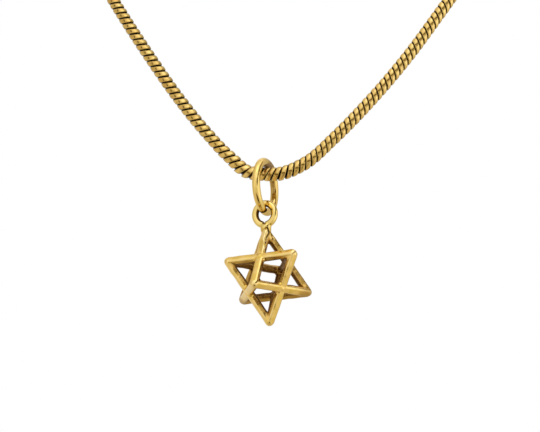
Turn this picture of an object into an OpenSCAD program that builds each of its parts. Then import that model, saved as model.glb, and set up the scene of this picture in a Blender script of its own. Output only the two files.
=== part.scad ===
/* [Star] */
// Height of the star between the centres of its top and bottom corners
star_h = 16.8; // [14:0.1:20]
// Radius of the circle through the three side corners of one tetrahedron
star_r = 7.2; // [6:0.1:8.5]
// Thickness of the bars of the tetrahedron that points up
up_bar_d = 1.5; // [1.1:0.02:1.7]
// Thickness of the bars of the tetrahedron that points down
down_bar_d = 1.46; // [1.1:0.02:1.7]
// Swelling of a corner or a crossing over the thickness of its bars
knuckle_swell = 0.16; // [0.1:0.02:0.4]

/* [Eye] */
// Outer diameter of the small eye ring that is soldered on the star
eye_d = 5; // [4.8:0.1:5.6]
// Thickness of the eye's wire
eye_wire_d = 1.26; // [1:0.02:1.36]
// Width of the notch where the ends of the eye's wire meet
notch_w = 0.4; // [0.2:0.1:0.6]
// Distance from the centre of the eye to the top corner of the star
neck_len = 3.6; // [3:0.1:4.5]
// Thickness of the solder neck between the eye and the star
neck_d = 2.2; // [1.6:0.1:2.4]

/* [Bail] */
// Outer diameter of the round bail
bail_d = 10.7; // [9.5:0.1:13]
// Thickness of the bail's wire
bail_wire_d = 1.5; // [1.1:0.02:1.6]

/* [Chain] */
// Diameter of the snake chain
chain_d = 2.4; // [1.6:0.1:2.5]
// Longest step between two sections of the chain's tube
section_step = 8; // [7:0.5:9]

/* [Clasp] */
// Length of the barrel clasp at the nape
clasp_len = 12; // [10:0.5:16]
// Diameter of the barrel clasp at its middle
clasp_d = 4.6; // [4:0.1:6]
// Diameter of the clasp at its two mouths
mouth_d = 3.8; // [3.4:0.1:4]

/* [Hidden] */

$fn = 48;
gold = [0.74, 0.56, 0.25];
old_gold = [0.66, 0.48, 0.2];

// Gap between pieces that hang in each other
hang_gap = 0.12;
// Gap between the chain and the clasp round it
socket_gap = 0.1;

// The route of the chain, from the clasp round the left of a wearer's neck
// to the bail, and on round the other side back to the clasp. The clasp is
// at the origin, and the wearer looks along -Y.
socket_floor = 2;
chain_end = socket_floor + socket_gap;
left_side = [
    [chain_end, 0, 0], [7, 0, 0], [14, -0.5, 0], [27, -4, -1], [40, -10.5, -3.5],
    [51.5, -20, -7.5], [59.5, -32.5, -13.5], [62.5, -46, -21.5], [61, -59, -31.5],
    [56.5, -70.5, -43], [50.5, -80, -55], [43.5, -87.5, -67], [36.5, -92.8, -78]
];
front_left = [
    [29.6, -96.4, -88.6], [22.7, -98.8, -98.1], [15.7, -100.8, -106.2],
    [9.2, -102.2, -112.5], [3.7, -103.3, -116.9], [-0.8, -104, -118.4]
];
bail_seat = [-4, -104, -118.1];
front_right = [
    [-7.2, -104, -117.2], [-10.6, -104.2, -114], [-15.2, -104.2, -108.5],
    [-20.5, -103.8, -101.2], [-26.5, -102.7, -92], [-33, -101, -81.5]
];
right_side = [
    [-39.5, -97.5, -71], [-46, -91.5, -60.5], [-52.5, -83, -50], [-58, -72, -40],
    [-61.8, -59.5, -30.5], [-62.5, -46, -21.5], [-59.5, -32.5, -13.5],
    [-51.5, -20, -7.5], [-40, -10.5, -3.5], [-27, -4, -1], [-14, -0.5, 0],
    [-7, 0, 0], [-chain_end, 0, 0]
];
route = concat(left_side, front_left, [bail_seat], front_right, right_side);
last = len(route) - 1;

// A curve through the route's points: the direction at a point weighs the
// two chords that meet there, so short and long chords join smoothly
function chord(i) = route[i + 1] - route[i];
function slope(i) =
    i == 0 || i == last ? [1, 0, 0] :
    let (a = norm(chord(i - 1)), b = norm(chord(i)))
    (chord(i - 1) * b / a + chord(i) * a / b) / (a + b);
function on_route(i, t) =
    let (h = norm(chord(i)))
    (2 * t * t * t - 3 * t * t + 1) * route[i]
    + (t * t * t - 2 * t * t + t) * h * slope(i)
    + (3 * t * t - 2 * t * t * t) * route[i + 1]
    + (t * t * t - t * t) * h * slope(i + 1);

spine = concat(
    [for (i = [0 : last - 1])
        let (steps = ceil(norm(chord(i)) / section_step))
        for (k = [0 : steps - 1]) on_route(i, k / steps)],
    [route[last]]
);

// A section of the tube is an eight-sided ring square to the spine
sides = 8;
across_loop = [0, 0.75, -0.66];
function unit(v) = v / norm(v);
function heading(i) =
    unit(spine[min(i + 1, len(spine) - 1)] - spine[max(i - 1, 0)]);
function section(i) =
    let (out = unit(cross(across_loop, heading(i))), over = cross(heading(i), out))
    [for (k = [0 : sides - 1])
        spine[i] + chain_d / 2 * (cos(360 * k / sides) * out + sin(360 * k / sides) * over)];

module snake_chain() {
    rings = len(spine);
    skin = [for (i = [0 : rings - 2]) for (k = [0 : sides - 1])
        let (n = (k + 1) % sides)
        [i * sides + k, (i + 1) * sides + k, (i + 1) * sides + n, i * sides + n]];
    first_cap = [for (k = [0 : sides - 1]) k];
    last_cap = [for (k = [sides - 1 : -1 : 0]) (rings - 1) * sides + k];
    color(old_gold)
        polyhedron(
            points = [for (i = [0 : rings - 1]) each section(i)],
            faces = concat([first_cap], skin, [last_cap]),
            convexity = 10
        );
}

// A plain barrel whose two ends take the ends of the chain
module clasp() {
    half = clasp_len / 2;
    color(gold) rotate([0, 90, 0]) difference() {
        rotate_extrude() polygon([
            [0, -half], [mouth_d / 2, -half], [mouth_d / 2, -half + 1],
            [clasp_d / 2, -half + 2.5], [clasp_d / 2, half - 2.5],
            [mouth_d / 2, half - 1], [mouth_d / 2, half], [0, half]
        ]);
        for (turn = [0, 180])
            rotate([turn, 0, 0]) translate([0, 0, socket_floor])
                cylinder(d = chain_d + 2 * socket_gap, h = half);
    }
}

// The bail's wire passes over the chain, and its bottom carries the eye
bail_r = (bail_d - bail_wire_d) / 2;
bail_drop = bail_r - bail_wire_d / 2 - chain_d / 2 - hang_gap;
bail_centre = bail_seat - [0, 0, bail_drop];

module bail_ring() {
    color(gold) translate(bail_centre) rotate([0, 90, 0])
        rotate_extrude() translate([bail_r, 0]) circle(d = bail_wire_d);
}

// The eye hangs on the bail's lowest wire
eye_r = (eye_d - eye_wire_d) / 2;
eye_drop = bail_r + eye_r - bail_wire_d / 2 - eye_wire_d / 2 - hang_gap;
eye_centre = bail_centre - [0, 0, eye_drop];
star_centre = eye_centre - [0, 0, neck_len + star_h / 2];

// The corners of the tetrahedron that points up, or down when way is -1.
// Its three side corners lie a third of the way from the middle, which is
// where the bars of the two tetrahedra cross at their middles.
function corners(way) = concat(
    [[0, 0, way * star_h / 2]],
    [for (a = [-90, 30, 150]) [star_r * cos(a), way * star_r * sin(a), -way * star_h / 6]]
);

module bar(a, b, d) {
    run = b - a;
    translate(a)
        rotate([0, acos(run.z / norm(run)), atan2(run.y, run.x)])
            cylinder(d = d, h = norm(run));
}

module tetrahedron(way, d) {
    p = corners(way);
    for (i = [0 : 2]) for (j = [i + 1 : 3]) bar(p[i], p[j], d);
    for (c = p) translate(c) sphere(d = d + knuckle_swell);
}

module crossings() {
    p = corners(1);
    for (i = [0 : 2]) for (j = [i + 1 : 3])
        translate((p[i] + p[j]) / 2) sphere(d = max(up_bar_d, down_bar_d) + knuckle_swell);
}

// The eye is bent from wire, so its ends leave a notch over the solder
module eye() {
    notch_top = eye_r - eye_wire_d;
    notch_floor = eye_r + eye_wire_d / 4;
    difference() {
        rotate([90, 0, 0]) rotate_extrude() translate([eye_r, 0]) circle(d = eye_wire_d);
        translate([-notch_w / 2, -eye_wire_d, -notch_floor])
            cube([notch_w, 2 * eye_wire_d, notch_floor - notch_top]);
    }
}

module solder_neck() {
    top = eye_r + eye_wire_d / 4;
    translate([0, 0, -neck_len]) {
        cylinder(d = neck_d, h = neck_len - top);
        sphere(d = neck_d);
    }
}

module merkaba_star() {
    color(gold) union() {
        translate(star_centre) {
            tetrahedron(1, up_bar_d);
            tetrahedron(-1, down_bar_d);
            crossings();
        }
        translate(eye_centre) {
            eye();
            solder_neck();
        }
    }
}

snake_chain();
clasp();
bail_ring();
merkaba_star();
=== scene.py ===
# %% [markdown]
# # A merkaba pendant on a snake chain
# This lesson dresses a small piece of jewellery: an open star of two crossed wire
# tetrahedra, the ring that carries it, and the thick snake chain through that ring.
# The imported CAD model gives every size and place, and the lesson adds what CAD leaves
# out: the bands of the chain, the soft corners of a casting, and old gold.

# %% Load the frame
import bpy
import math
import numpy as np
from mathutils import Matrix, Vector


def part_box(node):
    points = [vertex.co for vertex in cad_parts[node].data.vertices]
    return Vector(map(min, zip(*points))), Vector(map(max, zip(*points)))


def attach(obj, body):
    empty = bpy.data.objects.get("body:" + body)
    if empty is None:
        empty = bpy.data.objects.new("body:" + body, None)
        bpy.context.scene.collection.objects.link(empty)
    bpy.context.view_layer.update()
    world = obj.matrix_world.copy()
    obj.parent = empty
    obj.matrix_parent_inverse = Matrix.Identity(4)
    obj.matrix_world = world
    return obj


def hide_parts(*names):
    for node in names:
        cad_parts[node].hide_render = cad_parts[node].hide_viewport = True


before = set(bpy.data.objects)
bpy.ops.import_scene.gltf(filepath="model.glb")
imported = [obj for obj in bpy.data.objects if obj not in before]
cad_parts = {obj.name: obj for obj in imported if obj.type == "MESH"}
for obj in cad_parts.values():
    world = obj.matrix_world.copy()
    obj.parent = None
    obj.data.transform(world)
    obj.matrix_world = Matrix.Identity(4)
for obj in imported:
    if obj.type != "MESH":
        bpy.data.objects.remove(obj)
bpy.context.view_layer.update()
MM = 0.001
print("CAD nodes:", sorted(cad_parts))

# %% [markdown]
# ## Where things are
# The chain's route is the same short list of points that the CAD tube follows, in
# millimetres from the clasp at the nape. The bail hangs on one of these points. The
# centres of the bail and of the star are read from the boxes of their CAD nodes, so
# nothing has to be fitted by eye.

# %% Route and centres
LEFT_SIDE = [
    (2.1, 0, 0), (7, 0, 0), (14, -0.5, 0), (27, -4, -1), (40, -10.5, -3.5),
    (51.5, -20, -7.5), (59.5, -32.5, -13.5), (62.5, -46, -21.5), (61, -59, -31.5),
    (56.5, -70.5, -43), (50.5, -80, -55), (43.5, -87.5, -67), (36.5, -92.8, -78),
]
BAIL_SEAT = (-4, -104, -118.1)
FRONT_SIDE = [
    (29.6, -96.4, -88.6), (22.7, -98.8, -98.1), (15.7, -100.8, -106.2),
    (9.2, -102.2, -112.5), (3.7, -103.3, -116.9), (-0.8, -104, -118.4),
    BAIL_SEAT,
    (-7.2, -104, -117.2), (-10.6, -104.2, -114), (-15.2, -104.2, -108.5),
    (-20.5, -103.8, -101.2), (-26.5, -102.7, -92), (-33, -101, -81.5),
]
RIGHT_SIDE = [
    (-39.5, -97.5, -71), (-46, -91.5, -60.5), (-52.5, -83, -50), (-58, -72, -40),
    (-61.8, -59.5, -30.5), (-62.5, -46, -21.5), (-59.5, -32.5, -13.5),
    (-51.5, -20, -7.5), (-40, -10.5, -3.5), (-27, -4, -1), (-14, -0.5, 0),
    (-7, 0, 0), (-2.1, 0, 0),
]
route = [Vector(p) for p in LEFT_SIDE + FRONT_SIDE + RIGHT_SIDE]


def node_centre(node):
    low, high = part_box(node)
    return (Vector(low) + Vector(high)) / 2 / MM


bail_centre = node_centre("bail_ring")
star_low, star_high = (Vector(p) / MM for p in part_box("merkaba_star"))
print("bail centre", bail_centre[:], "star from", star_low[:], "to", star_high[:])

# %% [markdown]
# ## Camera
# The photograph looks at the star from a little to its side and from below, and the
# camera is a touch off level. Three directions say so: `back` goes from the star to the
# camera, and `view_right` and `view_up` lie along the sides of the picture. The star's
# own centre is half its height above its lowest corner, which is rounded to a ball.

# %% Star centre and view directions
STAR_HEIGHT = 16.8
CORNER_RADIUS = 0.81
VIEW_AZIMUTH = math.radians(20)
VIEW_ELEVATION = math.radians(-14)
VIEW_ROLL = math.radians(-2)

star_centre = Vector((bail_centre.x, bail_centre.y, star_low.z + CORNER_RADIUS + STAR_HEIGHT / 2))
back = Vector((
    math.sin(VIEW_AZIMUTH) * math.cos(VIEW_ELEVATION),
    -math.cos(VIEW_AZIMUTH) * math.cos(VIEW_ELEVATION),
    math.sin(VIEW_ELEVATION),
))
level = Vector((math.cos(VIEW_AZIMUTH), math.sin(VIEW_AZIMUTH), 0))
upright = back.cross(level)
view_right = math.cos(VIEW_ROLL) * level + math.sin(VIEW_ROLL) * upright
view_up = back.cross(view_right)
print("star centre", [round(v, 2) for v in star_centre])

# %% [markdown]
# The lens is long, and at the star one millimetre is 5.5 pixels. The star stands below
# the middle of the frame, so the camera looks at a point above the star instead of
# shifting its lens.

# %% Camera
FRAME_WIDTH_PX = 540
PX_PER_MM = 5.5
VIEW_DISTANCE = 450
STAR_RIGHT_OF_MIDDLE_PX = -2.0
STAR_BELOW_MIDDLE_PX = 61.0
SENSOR_WIDTH = 36

camera_spot = star_centre + VIEW_DISTANCE * back
aim = (
    star_centre
    - STAR_RIGHT_OF_MIDDLE_PX / PX_PER_MM * view_right
    + STAR_BELOW_MIDDLE_PX / PX_PER_MM * view_up
)
look_back = (camera_spot - aim).normalized()
look_right = view_up.cross(look_back).normalized()
look_up = look_back.cross(look_right)

camera_data = bpy.data.cameras.new("photo_camera")
camera_data.sensor_width = SENSOR_WIDTH
camera_data.lens = SENSOR_WIDTH * VIEW_DISTANCE * PX_PER_MM / FRAME_WIDTH_PX
camera_data.clip_start = 0.01
camera_data.clip_end = 10
camera = bpy.data.objects.new("photo_camera", camera_data)
bpy.context.scene.collection.objects.link(camera)
turn = Matrix((look_right, look_up, look_back)).transposed()
camera.matrix_world = Matrix.Translation(camera_spot * MM) @ turn.to_4x4()
bpy.context.scene.camera = camera
print("lens", round(camera_data.lens), "mm, camera", VIEW_DISTANCE, "mm from the star")

# %% [markdown]
# ## Small helpers for node trees
# Geometry trees and materials are both built from nodes and links. Written out, each
# node takes several lines, so `add` makes a node, fills its sockets by name, and links
# those that are given another node's output.

# %% Node helpers
def live(sockets, name):
    """The socket of this name that the node's settings have switched on."""
    return next(s for s in sockets if s.name == name and s.enabled)


def plug(tree, value, socket):
    if isinstance(value, bpy.types.NodeSocket):
        tree.links.new(value, socket)
    else:
        socket.default_value = value


def add(tree, kind, settings=None, **sockets):
    """Adds a node. Primary_Axis=value fills the socket Primary Axis."""
    node = tree.nodes.new(kind)
    for name, value in (settings or {}).items():
        setattr(node, name, value)
    for name, value in sockets.items():
        plug(tree, value, live(node.inputs, name.replace("_", " ")))
    return node


# %% [markdown]
# Most masks are sums on numbers. `between` is the one that is used most: its first two
# numbers say where the change starts and ends, and the last two what it gives there.

# %% Numbers and colours in a tree
def calc(tree, operation, *values):
    node = tree.nodes.new("ShaderNodeMath")
    node.operation = operation
    for socket, value in zip(node.inputs, values):
        plug(tree, value, socket)
    return node.outputs[0]


def between(tree, value, low, high, out_low=0.0, out_high=1.0):
    """Rises smoothly from out_low to out_high while value goes from low to high."""
    node = add(
        tree, "ShaderNodeMapRange", {"interpolation_type": "SMOOTHSTEP"}, Value=value,
        From_Min=low, From_Max=high, To_Min=out_low, To_Max=out_high,
    )
    return node.outputs[0]


def times(tree, a, b):
    return calc(tree, "MULTIPLY", a, b)


def from_to(tree, share, start, end):
    """Goes straight from start to end while share goes from 0 to 1."""
    return calc(tree, "MULTIPLY_ADD", share, end - start, start)


def blend(tree, share, first, second):
    """Mixes two colours, given as (r, g, b) or as sockets."""
    first, second = ((*c, 1.0) if isinstance(c, tuple) else c for c in (first, second))
    node = add(tree, "ShaderNodeMix", {"data_type": "RGBA"}, Factor=share, A=first, B=second)
    return live(node.outputs, "Result")


# %% [markdown]
# A geometry tree has named inputs. `grow` puts it on an object, fills the inputs, and
# keeps the result as a plain mesh, with no modifier left on it.

# %% Geometry trees
def geometry_tree(name, inputs):
    tree = bpy.data.node_groups.new(name, "GeometryNodeTree")
    tree.interface.new_socket("Geometry", in_out="INPUT", socket_type="NodeSocketGeometry")
    for label, kind, value in inputs:
        socket = tree.interface.new_socket(label, in_out="INPUT", socket_type="NodeSocket" + kind)
        if value is not None:
            socket.default_value = value
    tree.interface.new_socket("Geometry", in_out="OUTPUT", socket_type="NodeSocketGeometry")
    start = tree.nodes.new("NodeGroupInput")
    end = tree.nodes.new("NodeGroupOutput")
    return tree, start.outputs, end.inputs


def new_object(name, mesh):
    piece = bpy.data.objects.new(name, mesh)
    bpy.context.scene.collection.objects.link(piece)
    return piece


def settle(piece):
    """Applies every modifier by taking the evaluated mesh."""
    depsgraph = bpy.context.evaluated_depsgraph_get()
    mesh = bpy.data.meshes.new_from_object(
        piece.evaluated_get(depsgraph), preserve_all_data_layers=True, depsgraph=depsgraph
    )
    piece.modifiers.clear()
    piece.data = mesh
    return piece


def grow(piece, tree, **values):
    modifier = piece.modifiers.new(tree.name, "NODES")
    modifier.node_group = tree
    for item in tree.interface.items_tree:
        key = item.name.lower().replace(" ", "_")
        if item.in_out == "INPUT" and key in values:
            modifier[item.identifier] = values[key]
    return settle(piece)


# %% [markdown]
# ## Old gold
# All the metal is brass with antique gold plate. It has worn bright where fingers
# reach it, and a brown patina stays in every hollow. Painted maps would do, but nodes
# stay sharp from any distance, so each finish is built from the same few functions:
# noise for clouds and specks, a mask with a ragged edge for the patina, and a metal
# shader with a bump. The noise reads object coordinates, so it stays on the metal when
# a piece swings. Where a mark belongs to a place on the shape, the mesh carries it as
# an attribute.

# %% Gold helpers
def object_noise(tree, per_mm, detail=3.0, roughness=0.55):
    """Noise from 0 to 1 with about per_mm blotches to a millimetre."""
    place = add(tree, "ShaderNodeTexCoord").outputs["Object"]
    node = add(
        tree, "ShaderNodeTexNoise", Vector=place, Scale=per_mm / MM, Detail=detail, Roughness=roughness
    )
    return node.outputs["Fac"]


def mark(tree, name):
    """A number that the mesh carries as an attribute."""
    return add(tree, "ShaderNodeAttribute", {"attribute_name": name}).outputs["Fac"]


def empty_material(name):
    material = bpy.data.materials.new(name)
    material.use_nodes = True
    material.node_tree.nodes.clear()
    return material, material.node_tree


def ragged(tree, mask, speck, amount, low, high):
    """0 where a mask is at low and 1 where it is at high, with an edge broken by noise."""
    moved = calc(tree, "MULTIPLY_ADD", speck, amount, -amount / 2)
    return between(tree, calc(tree, "ADD", mask, moved), low, high)


def coats(tree, colour, *layers):
    """Lays colours over each other. A layer says how much of it shows, and its colour."""
    for amount, over in layers:
        colour = blend(tree, amount, colour, over)
    return colour


def metal_shader(tree, colour, roughness, height, bump_mm, metallic=1.0):
    bump = add(tree, "ShaderNodeBump", Height=height, Strength=1.0, Distance=bump_mm * MM)
    shader = add(tree, "ShaderNodeBsdfPrincipled", Metallic=metallic, Roughness=roughness, Base_Color=colour)
    tree.links.new(bump.outputs[0], shader.inputs["Normal"])
    end = tree.nodes.new("ShaderNodeOutputMaterial")
    tree.links.new(shader.outputs[0], end.inputs["Surface"])


# %% [markdown]
# The palette runs from gold that is rubbed bare, through gold that has dulled, to the
# patina: brown where it is a film, black where it has filled a groove. The palest gold
# also paints highlights on edges and the light gold a lit underside, while the olive and
# the brown and deep patinas also paint shade.

# %% Palette
PALE_EDGE_AND_HIGHLIGHT = (0.98, 0.78, 0.37)
PAINTED_LIGHT_GOLD = (0.98, 0.69, 0.235)
BRIGHT_GOLD = (0.88, 0.6, 0.19)
WIRE_GOLD = (0.86, 0.63, 0.19)
FACET_GOLD = (0.8, 0.54, 0.115)
WARM_GOLD = (0.8, 0.49, 0.13)
SIDE_GOLD = (0.76, 0.43, 0.085)
OLIVE_GOLD_AND_SHADE = (0.46, 0.31, 0.07)
BROWN_PATINA_AND_SHADE = (0.20, 0.09, 0.015)
DEEP_PATINA_AND_SHADE = (0.07, 0.035, 0.008)
BLACK_PATINA = (0.02, 0.009, 0.003)

# %% [markdown]
# ### Polished wire
# The bail and the clasp are drawn and turned metal with a high polish. It is only a
# little clouded, and fine wear makes the gloss uneven. Their meshes carry the attribute
# `hollow`: on the clasp it is 1 where cloth and fingers never reach, and patina
# stays there; on the bail it is painted shade inside the ring and at the rear of its top.
# It browns the gold and takes its gloss, and where it is thickest the surface hardly
# acts as metal any more.

# %% Wire finish
POLISHED = 0.06
SCUFFED = 0.13
PATINA_ROUGHNESS = 0.2
METAL_UNDER_PATINA = 0.1

wire_gold, t = empty_material("polished_wire_gold")
hollow = mark(t, "hollow")
cloud = object_noise(t, per_mm=0.5, detail=2.0)
wear = object_noise(t, per_mm=3.0, detail=4.0, roughness=0.6)
# Patina on the clasp, painted shade on the bail.
patina_and_shade = ragged(t, hollow, wear, amount=0.35, low=0.2, high=0.9)
colour = coats(
    t, WIRE_GOLD, (between(t, cloud, 0.35, 0.65), BRIGHT_GOLD), (times(t, patina_and_shade, 0.85), BROWN_PATINA_AND_SHADE)
)
roughness = from_to(t, between(t, wear, 0.45, 0.75), POLISHED, SCUFFED)
roughness = calc(t, "MULTIPLY_ADD", patina_and_shade, PATINA_ROUGHNESS, roughness)
bare = between(t, hollow, 0.75, 1.0, 1.0, METAL_UNDER_PATINA)
metal_shader(t, colour, roughness, wear, bump_mm=0.004, metallic=bare)
print("wire finish:", len(t.nodes), "nodes")

# %% [markdown]
# ### Cast gold
# The star is a casting. Its outer faces are polished, but its pits, its fillets and
# the sides that face inwards keep the patina, because no polishing wheel reaches
# them. The mesh carries four attributes for this:
#
# - `hollow` tells how deep a point lies: 0.5 on a flat face, less on a worn
#   edge, and 1 or more in a deep corner or crease. Inside the eye it is raised, as painted
#   shade.
# - `inner` is 0 on the outer facet of a bar and 1 on its sides and back.
#   Inside the eye it is painted shade.
# - `drawn` is 1 on the eye, which is bent from smooth wire, and 0 on the casting.
# - `worn` is 1 on faces that look to the front, where cloth and fingers keep them clean.

# %% Cast finish: clean gold
cast_gold, t = empty_material("cast_star_gold")
hollow = mark(t, "hollow")
inner = mark(t, "inner")
drawn = mark(t, "drawn")
worn = mark(t, "worn")
cloud = object_noise(t, per_mm=0.7, detail=2.0)
speck = object_noise(t, per_mm=2.2, detail=3.0, roughness=0.5)
unpolished_and_eye_shade = ragged(t, inner, speck, amount=0.36, low=0.15, high=0.85)
# The pale coat on convex edges is partly edges worn bright and partly a painted highlight.
worn_edge_and_highlight = times(t, between(t, hollow, 0.15, 0.45, 0.85, 0.0), from_to(t, drawn, 1.0, 0.5))
clean = coats(
    t, FACET_GOLD, (between(t, cloud, 0.35, 0.65), BRIGHT_GOLD), (times(t, unpolished_and_eye_shade, 0.85), SIDE_GOLD),
    (drawn, WIRE_GOLD), (worn_edge_and_highlight, PALE_EDGE_AND_HIGHLIGHT),
)

# %% [markdown]
# Two depths of patina go over the clean gold: a brown film in specks on all that isn't
# polished, and a dark filling in the hollows. Inside the eye the same coats are painted
# shade. Both roughen the metal.

# %% Cast finish: patina
CAST_POLISHED = 0.1
CAST_DULL = 0.4
FILLING_ROUGHNESS = 0.2

film_and_eye_shade = calc(t, "ADD", between(t, speck, 0.3, 0.7, 0.68, 0.46), between(t, inner, 0.7, 1.0, 0.0, 0.3))
film_and_eye_shade = times(t, film_and_eye_shade, from_to(t, worn, 1.12, 0.57))
in_hollows = ragged(t, hollow, speck, amount=0.1, low=0.66, high=1.05)
deep_corners_and_eye_shade = ragged(t, hollow, speck, amount=0.2, low=0.95, high=1.2)
filling_and_eye_shade = calc(t, "MAXIMUM", times(t, in_hollows, between(t, inner, 0.2, 0.8)), deep_corners_and_eye_shade)
colour = coats(t, clean, (times(t, unpolished_and_eye_shade, film_and_eye_shade), BROWN_PATINA_AND_SHADE), (filling_and_eye_shade, DEEP_PATINA_AND_SHADE))
roughness = from_to(t, unpolished_and_eye_shade, CAST_POLISHED, CAST_DULL)
roughness = calc(t, "MULTIPLY_ADD", filling_and_eye_shade, FILLING_ROUGHNESS, roughness)
grain = times(t, speck, from_to(t, unpolished_and_eye_shade, 0.02, 1.0))
metal_shader(t, colour, roughness, grain, bump_mm=0.02)
print("cast finish:", len(t.nodes), "nodes")

# %% [markdown]
# ### Chain gold
# The bands of the chain are too small for a mesh to carry their marks, so the finish
# reads the band's own UV map: u runs once round the band from its front, and v across
# its width. The attribute `tone` makes one band a little darker than the next, and
# `later` goes from 0 to 1 where the chain passes the bail, because the photograph
# shows each arm of it from another side, with other wear and other painted light and shade.
#
# A short slit, where the band's two ends meet, lies along the chain on the front and
# on the back. It leans a little, and on the arm after the bail it is shorter and
# further round.

# %% Chain finish: slits
SLIT_BEFORE = 0.505
SLIT_AFTER = 0.545
SLIT_MIDDLE = 0.48
SLIT_TILT = 0.05
SLIT_HALF_WIDTH = 0.014
SLIT_REACH_BEFORE = 0.3
SLIT_REACH_AFTER = 0.16

chain_gold, t = empty_material("snake_chain_gold")
tone = mark(t, "tone")
later = mark(t, "later")
uv = add(t, "ShaderNodeUVMap", {"uv_map": "band_uv"}).outputs[0]
parts = add(t, "ShaderNodeSeparateXYZ", Vector=uv)
u, v = parts.outputs["X"], parts.outputs["Y"]


def by_arm(before, after):
    """A number that differs between the arm before the bail and the arm after it."""
    return from_to(t, later, before, after)


across_slit = calc(t, "SUBTRACT", v, SLIT_MIDDLE)
slit_at = calc(t, "MULTIPLY_ADD", across_slit, SLIT_TILT, by_arm(SLIT_BEFORE, SLIT_AFTER))
half_turns = calc(t, "FRACT", calc(t, "MULTIPLY_ADD", calc(t, "SUBTRACT", u, slit_at), 2.0, 1.5))
from_slit = times(t, calc(t, "ABSOLUTE", calc(t, "SUBTRACT", half_turns, 0.5)), 0.5)
past_end = calc(t, "SUBTRACT", calc(t, "ABSOLUTE", across_slit), by_arm(SLIT_REACH_BEFORE, SLIT_REACH_AFTER))
slit = times(
    t, between(t, from_slit, 0.4 * SLIT_HALF_WIDTH, 1.6 * SLIT_HALF_WIDTH, 1.0, 0.0),
    between(t, past_end, -0.06, 0.04, 1.0, 0.0),
)
shade = times(t, between(t, from_slit, 0.01, 0.06, 0.85, 0.0), between(t, past_end, -0.1, 0.1, 1.0, 0.1))

# %% [markdown]
# Then come the masks for the rest of the band. Its edges go black in the groove. Faint
# streaks run round it, from a noise in the UV map that also moves with `tone`, so that no
# two bands are streaked alike. Before the bail a painted light makes its underside lighter.
# After the bail its sides and shoulders are darkened to olive as painted shade, and a spot
# on its upper side is a darker olive.

# %% Chain finish: wear and patina
FRONT_AFTER = 0.085
UNDERSIDE_AT = 0.85
OLIVE_SPOT_AT = 0.24
STREAKS = 6.0
OTHER_BAND = 40.0

speck = object_noise(t, per_mm=5.0, detail=4.0, roughness=0.65)
streak_place = add(
    t, "ShaderNodeCombineXYZ", X=times(t, u, STREAKS), Y=times(t, v, STREAKS), Z=times(t, tone, OTHER_BAND)
).outputs[0]
streak = add(t, "ShaderNodeTexNoise", Vector=streak_place, Scale=1.0, Detail=3.0).outputs["Fac"]
edge = calc(t, "ABSOLUTE", calc(t, "MULTIPLY_ADD", v, 2.0, -1.0))
groove = ragged(t, edge, speck, amount=0.1, low=0.57, high=0.75)
from_underside = calc(t, "ABSOLUTE", calc(t, "SUBTRACT", u, UNDERSIDE_AT))
# Painted light: before the bail the underside of each band is a lighter gold.
painted_light_underside = times(t, between(t, from_underside, 0.05, 0.25, 1.0, 0.5), calc(t, "SUBTRACT", 1.0, later))
turned_u = calc(t, "SUBTRACT", u, times(t, later, FRONT_AFTER))
faces_front = calc(t, "ABSOLUTE", calc(t, "COSINE", times(t, turned_u, 2 * math.pi)))
# Painted shade: the sides of each band darken to olive.
painted_shade_sides = times(t, between(t, faces_front, 0.2, 0.75, 1.0, 0.0), by_arm(0.05, 0.65))
# Painted shade: the shoulders darken to olive towards the groove.
painted_shade_shoulders = times(t, between(t, edge, 0.35, 0.65), by_arm(0.05, 0.45))
# A darker olive spot on the upper side of each band, after the bail.
from_olive_spot = calc(t, "ABSOLUTE", calc(t, "SUBTRACT", u, OLIVE_SPOT_AT))
olive_spot = ragged(t, from_olive_spot, speck, amount=0.06, low=0.075, high=0.03)
olive_spot = times(t, olive_spot, times(t, later, 0.8))

# %% [markdown]
# The coats go on in this order: the plate's own colour and its tone, the painted light on
# the underside, the painted shade on the sides and shoulders, the streaks and the olive
# marks, then the patina in the slit and the groove. The streaks also make the gloss
# uneven, and the slit is a dent in the bump.

# %% Chain finish: colour and gloss
colour = coats(
    t, BRIGHT_GOLD,
    (times(t, between(t, tone, 0.0, 1.0), by_arm(0.3, 0.9)), WARM_GOLD),
    (painted_light_underside, PAINTED_LIGHT_GOLD),
    (painted_shade_sides, OLIVE_GOLD_AND_SHADE),
    (painted_shade_shoulders, OLIVE_GOLD_AND_SHADE),
    (times(t, between(t, streak, 0.45, 0.68), by_arm(0.3, 0.65)), OLIVE_GOLD_AND_SHADE),
    (shade, OLIVE_GOLD_AND_SHADE),
    (olive_spot, OLIVE_GOLD_AND_SHADE),
    (times(t, slit, 0.85), BROWN_PATINA_AND_SHADE),
    (groove, BLACK_PATINA),
)
roughness = between(t, streak, 0.35, 0.65, 0.18, 0.42)
height = calc(t, "SUBTRACT", times(t, streak, 0.4), slit)
metal_shader(t, colour, roughness, height, bump_mm=0.07)
print("materials", [m.name for m in bpy.data.materials])

# %% [markdown]
# ## One band of the snake chain
# A snake chain is a row of short metal bands, each bent round the next. In the
# photograph every band leans about 35 degrees from square and its face is softly
# crowned, and the groove beside it is wider along the chain's upper side. Since the
# band is repeated more than three hundred times it has only a few dozen faces, and its
# slit and streaks are in the material. A six-point section goes round the axis in
# twelve steps, and its place along the axis follows a sine, as a tilted ring does.
#
# A point of the section holds its place along the width from -0.5 to 0.5, its radius
# in millimetres, and its v coordinate for the UV map.

# %% Band mesh
CHAIN_RADIUS = 1.17
BAND_PITCH = 1.36
BAND_LEAN = 0.7
LEAN_PHASE = math.radians(10)
GROOVE_NARROW = 0.14
GROOVE_WIDE = 0.22
BAND_STEPS = 12
BAND_SECTION = [
    (-0.5, 0.98, 0.0), (-0.44, 1.1, 0.16), (-0.22, 1.17, 0.36),
    (0.22, 1.17, 0.64), (0.44, 1.1, 0.84), (0.5, 0.98, 1.0),
]


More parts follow.
